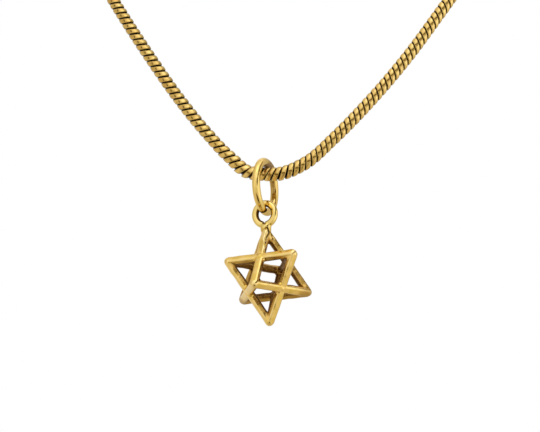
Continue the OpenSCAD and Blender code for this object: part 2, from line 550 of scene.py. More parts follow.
def band_mesh():
    rows, cols = BAND_STEPS, len(BAND_SECTION)
    points, faces, uvs = [], [], []
    for r in range(rows):
        a = 2 * math.pi * r / rows
        lean = -BAND_LEAN * CHAIN_RADIUS * math.sin(a + LEAN_PHASE)
        upper_side = (1 + math.cos(a - math.pi / 2)) / 2
        width = BAND_PITCH - GROOVE_NARROW - (GROOVE_WIDE - GROOVE_NARROW) * upper_side
        for along, radius, _ in BAND_SECTION:
            points.append(Vector((radius * math.cos(a), radius * math.sin(a), lean + along * width)) * MM)
    for r in range(rows):
        n = (r + 1) % rows
        for c in range(cols):
            d = (c + 1) % cols
            faces.append((r * cols + c, n * cols + c, n * cols + d, r * cols + d))
            here, there = BAND_SECTION[c][2], BAND_SECTION[d][2]
            if d == 0:
                here = there = 1.0
            uvs += [(r / rows, here), ((r + 1) / rows, here), ((r + 1) / rows, there), (r / rows, there)]
    mesh = bpy.data.meshes.new("band")
    mesh.from_pydata(points, [], faces)
    layer = mesh.uv_layers.new(name="band_uv")
    layer.data.foreach_set("uv", np.array(uvs, dtype=np.float32).ravel())
    mesh.update()
    return mesh


band = new_object("band", band_mesh())
print("one band:", len(band.data.polygons), "faces")

# %% [markdown]
# ## The chain, by Geometry Nodes
# Three hundred and more bands could be placed by a loop, but a tree does it better:
# it puts a point on the route for each band, turns each band so that its axis
# follows the route and its face keeps to one side, and adds a dark core, so that no
# light comes through the grooves. A band turns by a degree or so at random, from a
# fixed seed. The chain is also twisted by a tenth of a turn where it passes the bail:
# in the photograph its grooves lie straighter on the left, after the bail, than before.
#
# The route is smoothed exactly as in the CAD source: the direction at a point weighs
# the two chords that meet there, and a cubic joins the points.

# %% Route curve
SAMPLES_PER_CHORD = 12


def smooth_route(points):
    last = len(points) - 1

    def direction(i):
        if i in (0, last):
            return Vector((1, 0, 0))
        before, after = points[i] - points[i - 1], points[i + 1] - points[i]
        a, b = before.length, after.length
        return (before * (b / a) + after * (a / b)) / (a + b)

    curve = []
    for i in range(last):
        h = (points[i + 1] - points[i]).length
        for k in range(SAMPLES_PER_CHORD):
            t = k / SAMPLES_PER_CHORD
            curve.append(
                (2 * t**3 - 3 * t**2 + 1) * points[i] + (t**3 - 2 * t**2 + t) * h * direction(i)
                + (3 * t**2 - 2 * t**3) * points[i + 1] + (t**3 - t**2) * h * direction(i + 1)
            )
    return curve + [points[last]]


path = smooth_route(route)
steps = [(b - a).length for a, b in zip(path, path[1:])]
path_length = sum(steps)
chords_to_bail = len(LEFT_SIDE) + FRONT_SIDE.index(BAIL_SEAT)
bail_at = sum(steps[:SAMPLES_PER_CHORD * chords_to_bail]) / path_length
print("chain", round(path_length, 1), "mm, the bail hangs at", round(bail_at, 3), "of it")

# %% [markdown]
# In the photograph the bands stand closer before the bail than after it, by about a
# tenth each way. So the tree shares out the bands in two runs, one before the bail
# and one after it, and stretches each band to its run.

# %% Bands on each side of the bail
PITCH_BEFORE = 0.91 * BAND_PITCH
PITCH_AFTER = 1.09 * BAND_PITCH
bands_before = round(path_length * bail_at / PITCH_BEFORE)
bands_after = round(path_length * (1 - bail_at) / PITCH_AFTER)
print(bands_before, "bands before the bail and", bands_after, "after it")

# %% [markdown]
# The tree's inputs come first. It trims the route to leave room for the clasp, and
# spreads the points of the two runs along it. All places are shares of the route's
# length, from 0 at its start to 1 at its end.

# %% Chain tree: places of the bands
chain_tree, given, result = geometry_tree("chain_of_bands", [
    ("Band", "Object", None), ("Bands Before", "Int", 150), ("Bands After", "Int", 150),
    ("Stretch Before", "Float", 1.0), ("Stretch After", "Float", 1.0), ("Bail At", "Float", 0.5),
    ("Swell", "Float", 0.0), ("Core Radius", "Float", 0.0008), ("Core Before", "Float", 1.0),
    ("Core At Bail", "Float", 1.0), ("Margin", "Float", 0.001), ("Wobble", "Float", 0.02),
    ("Twist", "Float", 0.0), ("Metal", "Material", None),
])
t = chain_tree
whole = add(t, "GeometryNodeMeshToCurve", Mesh=given["Geometry"]).outputs[0]
length = add(t, "GeometryNodeCurveLength", Curve=whole).outputs[0]
end_at = calc(t, "SUBTRACT", length, given["Margin"])
strand = add(
    t, "GeometryNodeTrimCurve", {"mode": "LENGTH"}, Curve=whole, Start=given["Margin"], End=end_at
).outputs[0]

number = add(t, "GeometryNodeInputIndex").outputs[0]
last_band = calc(t, "SUBTRACT", calc(t, "ADD", given["Bands Before"], given["Bands After"]), 1.0)
before = calc(t, "MINIMUM", calc(t, "DIVIDE", number, given["Bands Before"]), 1.0)
after = calc(t, "MAXIMUM", calc(t, "SUBTRACT", number, given["Bands Before"]), 0.0)
after = calc(t, "DIVIDE", after, calc(t, "SUBTRACT", last_band, given["Bands Before"]))
rest_of_chain = calc(t, "SUBTRACT", 1.0, given["Bail At"])
share = calc(t, "ADD", times(t, before, given["Bail At"]), times(t, after, rest_of_chain))
past_bail = calc(t, "SUBTRACT", share, given["Bail At"])
sample = add(t, "GeometryNodeSampleCurve", {"mode": "FACTOR"}, Curves=strand, Factor=share)
spots = add(
    t, "GeometryNodePoints", Count=calc(t, "ADD", last_band, 1.0), Position=sample.outputs["Position"]
).outputs[0]

# %% [markdown]
# Each band faces one way, turned by its wobble and by its share of the twist. It swells
# near the bail, where the photograph shows the chain thicker, and stretches to its run.
# The attributes `tone` and `later` go to the finish.

# %% Chain tree: bands
FACING = (0.33, -0.91, -0.24)
TWIST_REACH = 0.07
RUN_CHANGE = 0.01
SWELL_FULL = 0.008
SWELL_GONE = 0.03


def chance(tree, low, high, seed):
    node = add(tree, "FunctionNodeRandomValue", {"data_type": "FLOAT"}, Min=low, Max=high, Seed=seed)
    return live(node.outputs, "Value")


def store(tree, geometry, name, value, domain="POINT"):
    """Writes a number on the geometry as an attribute."""
    settings = {"data_type": "FLOAT", "domain": domain}
    return add(
        tree, "GeometryNodeStoreNamedAttribute", settings, Geometry=geometry, Name=name, Value=value
    ).outputs[0]


def oriented(tree, along, face):
    """A rotation that lays Z along one direction and turns X towards another."""
    axes = {"primary_axis": "Z", "secondary_axis": "X"}
    return add(tree, "FunctionNodeAxesToRotation", axes, Primary_Axis=along, Secondary_Axis=face).outputs[0]


wobble = chance(t, times(t, given["Wobble"], -1.0), given["Wobble"], 7)
twisted = between(t, past_bail, -TWIST_REACH, TWIST_REACH, 0.0, given["Twist"])
angle = calc(t, "ADD", wobble, twisted)
own_turn = add(t, "FunctionNodeAxisAngleToRotation", Axis=(0, 0, 1), Angle=angle)
turned = add(
    t, "FunctionNodeRotateRotation", {"rotation_space": "LOCAL"},
    Rotation=oriented(t, sample.outputs["Tangent"], FACING), Rotate_By=own_turn.outputs[0],
).outputs[0]
from_bail = calc(t, "ABSOLUTE", past_bail)
swollen = between(t, from_bail, SWELL_FULL, SWELL_GONE, given["Swell"], 1.0)
stretch = between(t, past_bail, -RUN_CHANGE, RUN_CHANGE, given["Stretch Before"], given["Stretch After"])
band_scale = add(t, "ShaderNodeCombineXYZ", X=swollen, Y=swollen, Z=stretch).outputs[0]
model = add(t, "GeometryNodeObjectInfo", Object=given["Band"]).outputs["Geometry"]
bands = add(
    t, "GeometryNodeInstanceOnPoints", Points=spots, Instance=model, Rotation=turned, Scale=band_scale
).outputs[0]
bands = store(t, bands, "tone", chance(t, 0.0, 1.0, 3), "INSTANCE")
bands = store(t, bands, "later", between(t, past_bail, -TWIST_REACH, TWIST_REACH), "INSTANCE")

# %% [markdown]
# The core is an eight-sided ring swept along the route. It is fuller on the arm before
# the bail, where the photograph shows shallower grooves, and most of all under the bail,
# where a groove at the chain's outline would let light through.

# %% Chain tree: core and finish
FULLER_UNTIL = -0.04
SLIM_FROM = 0.0
UNDER_BAIL = 0.005
BESIDE_BAIL = 0.011

ring = add(t, "GeometryNodeCurvePrimitiveCircle", Resolution=8, Radius=given["Core Radius"]).outputs[0]
from_start = add(t, "GeometryNodeSplineParameter").outputs["Factor"]
core_past_bail = calc(t, "SUBTRACT", from_start, given["Bail At"])
core_from_bail = calc(t, "ABSOLUTE", core_past_bail)
full_before = between(t, core_past_bail, FULLER_UNTIL, SLIM_FROM, given["Core Before"], 1.0)
full_at_bail = between(t, core_from_bail, UNDER_BAIL, BESIDE_BAIL, given["Core At Bail"], 1.0)
core = add(
    t, "GeometryNodeCurveToMesh", Curve=strand, Profile_Curve=ring,
    Scale=calc(t, "MAXIMUM", full_before, full_at_bail), Fill_Caps=True,
).outputs[0]
both = add(t, "GeometryNodeJoinGeometry")
t.links.new(core, both.inputs[0])
t.links.new(bands, both.inputs[0])
real = add(t, "GeometryNodeRealizeInstances", Geometry=both.outputs[0]).outputs[0]
smooth = add(t, "GeometryNodeSetShadeSmooth", Geometry=real).outputs[0]
metal = add(t, "GeometryNodeSetMaterial", Geometry=smooth, Material=given["Metal"]).outputs[0]
t.links.new(metal, result[0])
print("chain tree:", len(t.nodes), "nodes")

# %% [markdown]
# The tree runs on the route, drawn as one long line of edges, and the result takes the
# place of the CAD tube.

# %% The chain
CORE_RADIUS = 0.96
END_MARGIN = 1.4
SWELL_AT_BAIL = 1.115

line = bpy.data.meshes.new("snake_chain_bands")
line.from_pydata([p * MM for p in path], [(i, i + 1) for i in range(len(path) - 1)], [])
chain = grow(
    new_object("snake_chain_bands", line), chain_tree, band=band, bands_before=bands_before,
    bands_after=bands_after, stretch_before=PITCH_BEFORE / BAND_PITCH, stretch_after=PITCH_AFTER / BAND_PITCH,
    bail_at=bail_at, swell=SWELL_AT_BAIL, core_radius=CORE_RADIUS * MM, core_before=1.1, core_at_bail=1.15,
    margin=END_MARGIN * MM, wobble=0.02, twist=math.radians(-34), metal=chain_gold,
)
bpy.data.objects.remove(band)
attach(chain, "chain")
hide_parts("snake_chain")
print("chain:", len(chain.data.polygons), "faces,", chain.data.uv_layers.keys(), "in its UV maps")

# %% [markdown]
# ## The star as a casting
# The real star was cast in one piece. Its bars aren't round: each has a flat polished
# facet on the outside, two plainer sides and a rounded back. Bars run into each other
# with fillets, and the corners are rounded. Modelling each fillet by hand would take
# long. Instead a tree lays a bar along every edge of the two tetrahedra, facet
# outwards, and a knuckle on every corner and crossing. A voxel remesh then fuses them
# into one skin, and smoothing draws the fillets. This is done at a thousand times the
# real size, because a voxel of a tenth of a millimetre is too small to count in metres.

# %% Corners and edges of the two tetrahedra
STAR_RADIUS = 7.2


def tetrahedron(way):
    ends = [Vector((0, 0, way * STAR_HEIGHT / 2))]
    for degrees in (-90, 30, 150):
        a = math.radians(degrees)
        across = STAR_RADIUS * math.cos(a)
        deep = way * STAR_RADIUS * math.sin(a)
        ends.append(Vector((across, deep, -way * STAR_HEIGHT / 6)))
    return ends


corners = tetrahedron(1) + tetrahedron(-1)
edges = [(s + i, s + j) for s in (0, 4) for i in range(3) for j in range(i + 1, 4)]
cage = bpy.data.meshes.new("star_cage")
cage.from_pydata([c + star_centre for c in corners], edges, [])
print("star:", len(corners), "corners,", len(edges), "bars")

# %% [markdown]
# One bar is a prism one millimetre long, with its facet towards +X. The tree stretches
# it along Z to the length of each edge. A point of its profile says how far outwards
# it lies from the bar's axis, and how far to the side, in millimetres.

# %% One bar
FACET_AT = 0.72
FACET_HALF = 0.38
BEVEL_AT = 0.58
BEVEL_HALF = 0.66
SIDE_FROM = 0.4
SIDE_TO = -0.3
SIDE_AT = 0.74
BACK_AT = -0.7
BACK_HALF = 0.4
BAR_PROFILE = [
    (FACET_AT, -FACET_HALF), (FACET_AT, FACET_HALF), (BEVEL_AT, BEVEL_HALF), (SIDE_FROM, SIDE_AT),
    (SIDE_TO, SIDE_AT), (BACK_AT, BACK_HALF), (BACK_AT, -BACK_HALF), (SIDE_TO, -SIDE_AT),
    (SIDE_FROM, -SIDE_AT), (BEVEL_AT, -BEVEL_HALF),
]


def prism_mesh(name, profile):
    count = len(profile)
    points = [(x, y, z) for z in (-0.5, 0.5) for x, y in profile]
    faces = [(i, (i + 1) % count, count + (i + 1) % count, count + i) for i in range(count)]
    faces += [tuple(range(count))[::-1], tuple(range(count, 2 * count))]
    mesh = bpy.data.meshes.new(name)
    mesh.from_pydata(points, [], faces)
    return mesh


bar = new_object("bar", prism_mesh("bar", BAR_PROFILE))
print("one bar:", len(bar.data.polygons), "faces")

# %% [markdown]
# The tree notes each edge's direction, puts a point on its middle, and lays a bar
# there. Since the crossings are at the middles too, the same points take the lumps.

# %% Vectors in a tree
def vector_calc(tree, operation, *values):
    node = tree.nodes.new("ShaderNodeVectorMath")
    node.operation = operation
    for socket, value in zip(node.inputs, values):
        plug(tree, value, socket)
    return node.outputs["Value" if operation in ("DOT_PRODUCT", "LENGTH") else "Vector"]


def scaled(tree, vector, by):
    return add(tree, "ShaderNodeVectorMath", {"operation": "SCALE"}, Vector=vector, Scale=by).outputs[0]


# %% Star tree
KNUCKLE_RADIUS = 0.76
CROSSING_RADIUS = 0.84

star_tree, given, result = geometry_tree("star_of_bars", [
    ("Bar", "Object", None), ("Middle", "Vector", (0, 0, 0)), ("Knuckle Radius", "Float", 0.78),
    ("Crossing Radius", "Float", 0.9), ("Metal", "Material", None),
])
t = star_tree
ends = add(t, "GeometryNodeInputMeshEdgeVertices")
run = vector_calc(t, "SUBTRACT", ends.outputs["Position 2"], ends.outputs["Position 1"])
runs = add(
    t, "GeometryNodeStoreNamedAttribute", {"data_type": "FLOAT_VECTOR", "domain": "EDGE"},
    Geometry=given["Geometry"], Name="run", Value=run,
).outputs[0]
middles = add(t, "GeometryNodeMeshToPoints", {"mode": "EDGES"}, Mesh=runs).outputs[0]
noted_run = add(t, "GeometryNodeInputNamedAttribute", {"data_type": "FLOAT_VECTOR"}, Name="run")
along = live(noted_run.outputs, "Attribute")
outwards = vector_calc(t, "SUBTRACT", add(t, "GeometryNodeInputPosition").outputs[0], given["Middle"])
bar_scale = add(t, "ShaderNodeCombineXYZ", X=1.0, Y=1.0, Z=vector_calc(t, "LENGTH", along)).outputs[0]
model = add(t, "GeometryNodeObjectInfo", Object=given["Bar"]).outputs["Geometry"]
bars = add(
    t, "GeometryNodeInstanceOnPoints", Points=middles, Instance=model,
    Rotation=oriented(t, along, outwards), Scale=bar_scale,
).outputs[0]
ball = add(t, "GeometryNodeMeshIcoSphere", Radius=given["Knuckle Radius"], Subdivisions=4).outputs[0]
knuckles = add(t, "GeometryNodeInstanceOnPoints", Points=given["Geometry"], Instance=ball).outputs[0]
lump = add(t, "GeometryNodeMeshIcoSphere", Radius=given["Crossing Radius"], Subdivisions=4).outputs[0]
crossings = add(t, "GeometryNodeInstanceOnPoints", Points=middles, Instance=lump).outputs[0]
together = add(t, "GeometryNodeJoinGeometry")
for part in (bars, knuckles, crossings):
    t.links.new(part, together.inputs[0])
real = add(t, "GeometryNodeRealizeInstances", Geometry=together.outputs[0]).outputs[0]
metal = add(t, "GeometryNodeSetMaterial", Geometry=real, Material=given["Metal"]).outputs[0]
t.links.new(metal, result[0])
print("star tree:", len(t.nodes), "nodes")

# %% The star's bars
star = grow(
    new_object("merkaba_star_cast", cage), star_tree, bar=bar, middle=star_centre,
    knuckle_radius=KNUCKLE_RADIUS, crossing_radius=CROSSING_RADIUS, metal=cast_gold,
)
bpy.data.objects.remove(bar)
print("bars and knuckles:", len(star.data.polygons), "faces before they are fused")

# %% [markdown]
# ## Eye and solder
# The eye is a short wire bent round, with its two ends just short of each other over
# the solder that holds it on the star. So the wire is swept along an arc that stops
# before it closes. As in the photograph, the eye is a little taller than wide and sits
# a little to one side. A primitive torus would have neither the gap nor that form.

# %% Swept wire
def tube_mesh(name, spine, radius, sides=24, closed=False):
    """Sweeps a circle along a spine. The radius may be a function of the share of the way."""
    points, faces = [], []
    count = len(spine)
    for i, p in enumerate(spine):
        ahead = spine[(i + 1) % count] if closed or i < count - 1 else p
        behind = spine[i - 1] if closed or i else p
        tangent = (ahead - behind).normalized()
        if i == 0:
            side = tangent.orthogonal().normalized()
        else:
            side = (side - side.dot(tangent) * tangent).normalized()
        over = tangent.cross(side)
        r = radius(i / (count - 1)) if callable(radius) else radius
        for k in range(sides):
            a = 2 * math.pi * k / sides
            points.append(p + r * (math.cos(a) * side + math.sin(a) * over))
    for i in range(count if closed else count - 1):
        j = (i + 1) % count
        for k in range(sides):
            n = (k + 1) % sides
            faces.append((i * sides + k, i * sides + n, j * sides + n, j * sides + k))
    if not closed:
        faces.append(tuple(range(sides))[::-1])
        faces.append(tuple(range((count - 1) * sides, count * sides)))
    mesh = bpy.data.meshes.new(name)
    mesh.from_pydata(points, [], faces)
    mesh.update()
    return mesh


# %% Eye
EYE_RADIUS = 1.87
EYE_WIRE_RADIUS = 0.64
EYE_TALLER = 1.08
EYE_SHIFT = Vector((-0.17, 0, -0.13))
EYE_GAP = math.radians(8)
EYE_GAP_AT = math.radians(-4)
EYE_STEPS = 72
NECK_LENGTH = 3.6
eye_centre = star_centre + Vector((0, 0, STAR_HEIGHT / 2 + NECK_LENGTH))


def eye_point(k):
    a = EYE_GAP + (2 * math.pi - 2 * EYE_GAP) * k / (EYE_STEPS - 1) + EYE_GAP_AT
    return eye_centre + EYE_SHIFT + EYE_RADIUS * Vector((math.sin(a), 0, -EYE_TALLER * math.cos(a)))


eye_spine = [eye_point(k) for k in range(EYE_STEPS)]
eye = new_object("eye", tube_mesh("eye", eye_spine, EYE_WIRE_RADIUS))
print("eye made at", [round(v, 2) for v in eye_centre])

# %% [markdown]
# The solder is a blob that fills the top of the star and plugs the gap in the wire. It
# is a cone at first, then full, and it fades where the bars part. A drip of solder has
# run down the front bar as far as the crossing: a fat bead at the top, a waist, and a
# longer bead below, on a line that sways a little.

# %% Solder
NECK_STEPS = 24
DRIP_STEPS = 40
DRIP_SWAY = 0.12
DRIP_WAVE = 11
DRIP_WAIST = 0.2
NECK_TIP = 0.4
NECK_WIDENS = 6
NECK_FULL = 1.05
NECK_FADES = 0.2
top_corner = star_centre + Vector((0, 0, STAR_HEIGHT / 2))
front_corner = star_centre + corners[1]
neck_top = top_corner + Vector((-0.15, 0.12, 1.75))
neck_foot = top_corner - Vector((0, 0, 2.0))
drip_start = top_corner + Vector((0.25, -0.95, 0.6))
drip_end = top_corner.lerp(front_corner, 0.46) + Vector((0.5, -0.45, 0.35))


def bulge(share, middle, half_length, height):
    """A smooth swelling of a given height round one place."""
    return height * math.exp(-(((share - middle) / half_length) ** 2))


def neck_radius(share):
    return min(NECK_TIP + NECK_WIDENS * share, NECK_FULL - NECK_FADES * share)


def drip_point(share):
    return drip_start.lerp(drip_end, share) + Vector((DRIP_SWAY * math.sin(DRIP_WAVE * share), 0, 0))


def drip_radius(share):
    upper_bead = bulge(share, middle=0.16, half_length=0.12, height=0.26)
    lower_bead = bulge(share, middle=0.78, half_length=0.14, height=0.16)
    return DRIP_WAIST + upper_bead + lower_bead


neck_spine = [neck_top.lerp(neck_foot, k / (NECK_STEPS - 1)) for k in range(NECK_STEPS)]
neck = new_object("neck", tube_mesh("neck", neck_spine, neck_radius))
drip_spine = [drip_point(k / (DRIP_STEPS - 1)) for k in range(DRIP_STEPS)]
drip = new_object("drip", tube_mesh("drip", drip_spine, drip_radius, 16))
print("solder from", round(neck_top.z, 2), "down to", round(drip_end.z, 2), "mm")

# %% [markdown]
# ## Fuse, smooth and roughen
# Joining the meshes and remeshing them with voxels gives one closed skin. Much smaller
# voxels would show no more, and would make the star a heavy mesh. A second tree then
# gives it the look of a casting, in the steps below.

# %% Join and remesh
VOXEL = 0.103


def join(into, *others):
    with bpy.context.temp_override(
        active_object=into, selected_editable_objects=[into, *others], selected_objects=[into, *others]
    ):
        bpy.ops.object.join()


join(star, eye, neck, drip)
fuse = star.modifiers.new("fuse", "REMESH")
fuse.mode = "VOXEL"
fuse.voxel_size = VOXEL
soften = star.modifiers.new("soften", "SMOOTH")
soften.factor = 0.5
soften.iterations = 5
settle(star)
print("fused star:", len(star.data.polygons), "faces")

# %% [markdown]
# Cast metal flows round inner corners, so the first step fills them. Averaging the
# positions of a point's neighbours gives a place outside the metal where the skin is
# hollow. The skin is lifted towards it a few times over, which rounds the fillets and
# leaves flat faces and outer edges alone. The soldered top needs less of it.

# %% Cast skin: fillets
FILL_ROUNDS = 4
LESS_FILL = 0.4

skin_tree, given, result = geometry_tree("cast_skin", [
    ("Fill Reach", "Int", 40), ("Lumps", "Float", 0.05), ("Pits", "Float", 0.03),
    ("Wire Above", "Float", 0.0), ("Solder Above", "Float", 0.0), ("Solder Lumps", "Float", 0.1),
    ("Creases", "Object", None), ("Crease Depth", "Float", 0.08),
    ("Reach", "Int", 12), ("Hollow Depth", "Float", 0.05), ("Middle", "Vector", (0, 0, 0)),
    ("Eye Middle", "Vector", (0, 0, 0)), ("Dull Behind", "Float", 0.0), ("Metal", "Material", None),
])
t = skin_tree
here = add(t, "GeometryNodeInputPosition").outputs[0]
outward = add(t, "GeometryNodeInputNormal").outputs[0]
place = add(t, "ShaderNodeSeparateXYZ", Vector=here)
height = place.outputs["Z"]


def sunk_below_average(reach):
    """How far a point lies below the average of its neighbours, along its normal."""
    average = add(t, "GeometryNodeBlurAttribute", {"data_type": "FLOAT_VECTOR"}, Value=here, Iterations=reach)
    to_average = vector_calc(t, "SUBTRACT", live(average.outputs, "Value"), here)
    return vector_calc(t, "DOT_PRODUCT", to_average, outward)


solder_from = calc(t, "ADD", given["Solder Above"], 0.4)
solder_to = calc(t, "ADD", given["Solder Above"], 1.6)
amount = between(t, height, solder_from, solder_to, 1.0, LESS_FILL)
lift = times(t, calc(t, "MAXIMUM", sunk_below_average(given["Fill Reach"]), 0.0), amount)
flow = scaled(t, outward, lift)
skin = given["Geometry"]
for _ in range(FILL_ROUNDS):
    skin = add(t, "GeometryNodeSetPosition", Geometry=skin, Offset=flow).outputs[0]

# %% [markdown]
# Noise then moves the skin in and out by a few hundredths of a millimetre: broad lumps
# everywhere on the casting, fine pits on the sides that no wheel has polished, and
# beads in the solder. The drawn wire of the eye stays almost smooth. A facet stands
# out from the star's middle by four millimetres, and an inner side looks back at it.

# %% Cast skin: lumps, pits and beads
LEAST_CAST = 0.12
INNER_STANDS_OUT = -2.8
FACET_STANDS_OUT = 4.2

from_middle = vector_calc(t, "SUBTRACT", here, given["Middle"])
stands_out = vector_calc(t, "DOT_PRODUCT", from_middle, outward)
star_side = between(t, stands_out, INNER_STANDS_OUT, FACET_STANDS_OUT, 1.0, 0.0)
below_wire = calc(t, "SUBTRACT", given["Wire Above"], height)
cast = calc(t, "MINIMUM", calc(t, "MAXIMUM", below_wire, LEAST_CAST), 1.0)
solder_full = calc(t, "ADD", given["Solder Above"], 1.5)
soldered = times(t, between(t, height, given["Solder Above"], solder_full), cast)


def uneven(scale, detail, depth):
    """Noise that moves the skin out and in by half of a depth."""
    noise = add(t, "ShaderNodeTexNoise", Vector=here, Scale=scale, Detail=detail).outputs[0]
    return times(t, calc(t, "SUBTRACT", noise, 0.5), depth)


lumps = uneven(scale=0.4, detail=1.0, depth=given["Lumps"])
pits = uneven(scale=2.6, detail=2.0, depth=times(t, given["Pits"], star_side))
beads = uneven(scale=1.3, detail=1.0, depth=given["Solder Lumps"])
rise = times(t, calc(t, "ADD", lumps, pits), cast)
rise = calc(t, "MULTIPLY_ADD", beads, soldered, rise)

# %% [markdown]
# The solder has folded where it cooled. The folds are drawn as lines, in millimetres to
# the right of the star's top corner and above it, as the camera sees them. A curtain of
# faces hangs through each line, from before the solder to behind its surface, and the
# tree presses a narrow crease wherever the skin lies near a curtain.

# %% Crease lines
LONG_CREASE = [
    (-0.07, 1.02), (0.27, 0.69), (0.35, 0.35), (0.43, -0.12), (0.22, -0.58), (0, -0.95), (-0.05, -1.45),
]
LOWER_CREASE = [(-0.22, -1.93), (-0.36, -2.56), (-0.51, -3.2)]
WIRE_END_CREASE = [(-0.76, 1.36), (-0.3, 1.5)]
CURTAIN_FRONT = 4.0
CURTAIN_REAR = 0.3


def curtain_mesh(lines):
    points, faces = [], []
    for line in lines:
        start = len(points)
        for right, up in line:
            spot = top_corner + right * view_right + up * view_up
            points += [spot + CURTAIN_FRONT * back, spot + CURTAIN_REAR * back]
        for i in range(start, len(points) - 2, 2):
            faces.append((i, i + 1, i + 3, i + 2))
    mesh = bpy.data.meshes.new("creases")
    mesh.from_pydata(points, [], faces)
    return mesh


creases = new_object("creases", curtain_mesh([LONG_CREASE, LOWER_CREASE, WIRE_END_CREASE]))
print("crease curtains:", len(creases.data.polygons), "faces")

# %% Cast skin: creases
curtains = add(t, "GeometryNodeObjectInfo", Object=given["Creases"]).outputs["Geometry"]
nearest = add(t, "GeometryNodeProximity", {"target_element": "FACES"}, Geometry=curtains)
from_crease = nearest.outputs["Distance"]
pressed = times(t, between(t, from_crease, 0.04, 0.22, 1.0, 0.0), given["Crease Depth"])
rise = calc(t, "SUBTRACT", rise, pressed)
skin = add(t, "GeometryNodeSetPosition", Geometry=skin, Offset=scaled(t, outward, rise)).outputs[0]

# %% [markdown]
# Last come the four marks that the finish reads. `hollow` compares each point
# with the average of its neighbours, and the creases count as deep; the inside of the eye
# counts as deep too, as painted shade. `inner` goes by how far the skin
# stands out from the star's middle, and on the eye by whether it looks at the eye's own
# middle, which paints shade inside the eye. The star's back is duller and its solder is
# clean. `drawn` is the eye's wire. `worn` is where the star looks to the front.

# %% Cast skin: marks
FRONT = (0.5, -0.86, 0.0)


def faces_eye_middle(low, high):
    """0 to 1 as the skin turns from away from the eye's middle to towards it."""
    towards = vector_calc(t, "NORMALIZE", vector_calc(t, "SUBTRACT", given["Eye Middle"], here))
    return between(t, vector_calc(t, "DOT_PRODUCT", towards, outward), low, high)


on_star = between(t, cast, LEAST_CAST, 0.6)
drawn = calc(t, "SUBTRACT", 1.0, on_star)
hollow = calc(t, "DIVIDE", sunk_below_average(given["Reach"]), given["Hollow Depth"])
hollow = calc(t, "MULTIPLY_ADD", hollow, 0.5, 0.5)
hollow = calc(t, "ADD", hollow, between(t, from_crease, 0.05, 0.2, 0.65, 0.0))
# Painted shade: the inside of the eye counts as deep.
hollow = calc(t, "MULTIPLY_ADD", times(t, faces_eye_middle(0.2, 0.9), 0.65), drawn, hollow)
behind_by = calc(t, "SUBTRACT", place.outputs["Y"], given["Dull Behind"])
star_side = calc(t, "MAXIMUM", star_side, between(t, behind_by, -0.5, 2.5, 0.0, 0.6))
star_side = times(t, star_side, from_to(t, soldered, 1.0, 0.15))
# Painted shade: the side of the eye's wire that looks at its middle.
eye_inside_shade = faces_eye_middle(-0.1, 0.4)
inner = add(t, "ShaderNodeMix", {"data_type": "FLOAT"}, Factor=on_star, A=eye_inside_shade, B=star_side)
faces_out = vector_calc(t, "DOT_PRODUCT", outward, FRONT)
skin = store(t, skin, "hollow", hollow)
skin = store(t, skin, "inner", live(inner.outputs, "Result"))
skin = store(t, skin, "drawn", drawn)
skin = store(t, skin, "worn", times(t, between(t, faces_out, 0.75, 0.95), on_star))
smooth = add(t, "GeometryNodeSetShadeSmooth", Geometry=skin).outputs[0]
real = add(t, "GeometryNodeRealizeInstances", Geometry=smooth).outputs[0]
metal = add(t, "GeometryNodeSetMaterial", Geometry=real, Material=given["Metal"]).outputs[0]
t.links.new(metal, result[0])
print("skin tree:", len(t.nodes), "nodes")

# %% The cast star
grow(
    star, skin_tree, lumps=0.2, pits=0.03, wire_above=neck_top.z - 0.8, solder_above=neck_foot.z,
    solder_lumps=0.06, reach=14, hollow_depth=0.12, middle=star_centre, eye_middle=eye_centre + EYE_SHIFT,
    creases=creases, crease_depth=0.07, dull_behind=star_centre.y, fill_reach=46, metal=cast_gold,
)
bpy.data.objects.remove(creases)
star.data.transform(Matrix.Scale(MM, 4))
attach(star, "pendant")
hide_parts("merkaba_star")
values = np.zeros(len(star.data.vertices))
star.data.attributes["hollow"].data.foreach_get("value", values)
print("star:", len(star.data.polygons), "faces, hollow", np.percentile(values, (5, 25, 50, 75, 95)).round(2))

# %% [markdown]
# ## The bail
# The bail is a jump ring: a length of round wire bent into a circle and closed. A
# hand-closed ring is never perfectly even. In the photograph its wire is a little
# thicker over the top, most of all at the rear, and the ring is turned and leaned by a
# few degrees. It is thinnest at the bottom, where the eye swings on it. The wire is
# swept round the circle in code, since it is one closed tube. The angle goes from the
# rear, over the top, to the front.

# %% Bail mesh
BAIL_RADIUS = 4.63
BAIL_WIRE_RADIUS = 0.75
BAIL_STEPS = 160
BAIL_TURN = math.radians(0.8)
BAIL_LEAN = math.radians(3)
BAIL_SHIFT = Vector((0.1, 0, 0.03))
REAR_TOP = math.radians(60)
REAR_TOP_HALF = 0.35
REAR_TOP_INWARDS = 0.13
REAR_TOP_THICKER = 0.16
TOP_THICKER = 0.06
BOTTOM_THINNER = 0.05
UNEVEN = 0.006

bail_across = Vector((math.sin(BAIL_TURN), math.cos(BAIL_TURN), 0))
bail_up = Vector((math.sin(BAIL_LEAN), 0, math.cos(BAIL_LEAN)))


def bail_point(angle):
    radius = BAIL_RADIUS - bulge(angle, REAR_TOP, REAR_TOP_HALF, REAR_TOP_INWARDS)
    return bail_centre + BAIL_SHIFT + radius * (math.cos(angle) * bail_across + math.sin(angle) * bail_up)


def bail_wire(share):
    angle = 2 * math.pi * share
    over_top = max(0.0, math.sin(angle)) ** 2
    under_bottom = max(0.0, -math.sin(angle)) ** 8
    wire = BAIL_WIRE_RADIUS * (1 + TOP_THICKER * over_top - UNEVEN * (1 + math.sin(3 * angle)))
    return wire - BOTTOM_THINNER * under_bottom + bulge(angle, REAR_TOP, REAR_TOP_HALF, REAR_TOP_THICKER)


